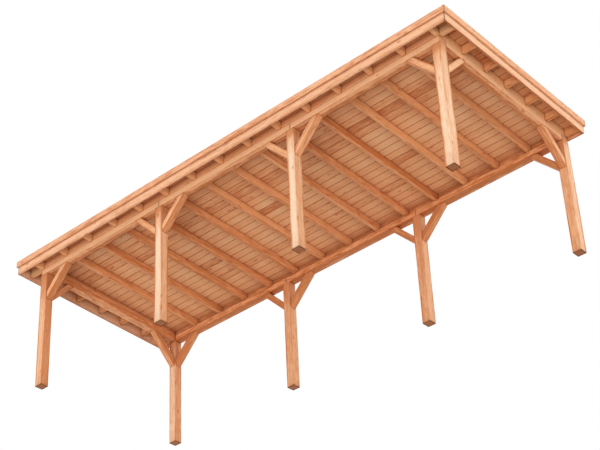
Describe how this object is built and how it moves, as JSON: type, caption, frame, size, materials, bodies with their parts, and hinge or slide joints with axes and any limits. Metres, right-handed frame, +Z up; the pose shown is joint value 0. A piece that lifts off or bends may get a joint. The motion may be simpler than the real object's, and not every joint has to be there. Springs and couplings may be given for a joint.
{
  "type": "carport",
  "caption": "Long open-sided timber carport: square posts with knee braces carry beams, rafters and a boarded roof with a slight fall, edged by a stepped double fascia.",
  "frame": {"origin": "centre of the overall box at ground level, where the posts stand", "axes": "+X along the length, -Y towards the higher front side, +Z up"},
  "size_m": [9.736, 3.6706, 2.5787],
  "materials": {
    "post_timber": "planed, oiled softwood with eased arrises",
    "brace_timber": "planed, oiled softwood with eased arrises",
    "beam_timber": "planed, oiled softwood",
    "frame_timber": "planed, oiled softwood",
    "deck_boards": "planed, oiled softwood boards with V joints",
    "fascia_boards": "planed, oiled softwood boards",
    "roofing": "matt dark roofing sheet"
  },
  "bodies": {
    "root": {"post_front_1": "post_timber", "post_front_2": "post_timber", "post_front_3": "post_timber", "post_front_4": "post_timber", "post_back_1": "post_timber", "post_back_2": "post_timber", "post_back_3": "post_timber", "post_back_4": "post_timber", "brace_front_1": "brace_timber", "brace_front_2": "brace_timber", "brace_front_3": "brace_timber", "brace_front_4": "brace_timber", "brace_back_1": "brace_timber", "brace_back_2": "brace_timber", "brace_back_3": "brace_timber", "brace_back_4": "brace_timber", "beam_front_1": "beam_timber", "beam_front_2": "beam_timber", "beam_front_3": "beam_timber", "beam_back_1": "beam_timber", "beam_back_2": "beam_timber", "beam_back_3": "beam_timber", "beam_left": "beam_timber", "beam_right": "beam_timber", "rafters_1": "frame_timber", "rafters_2": "frame_timber", "rafters_3": "frame_timber", "lookouts_left": "frame_timber", "lookouts_right": "frame_timber", "blocking_front": "frame_timber", "blocking_back": "frame_timber", "roof_deck": "deck_boards", "roof_sheet": "roofing", "fascia_front": "fascia_boards", "fascia_back": "fascia_boards", "fascia_left": "fascia_boards", "fascia_right": "fascia_boards", "cover_front": "fascia_boards", "cover_back": "fascia_boards", "cover_left": "fascia_boards", "cover_right": "fascia_boards"}
  },
  "joints": []
}
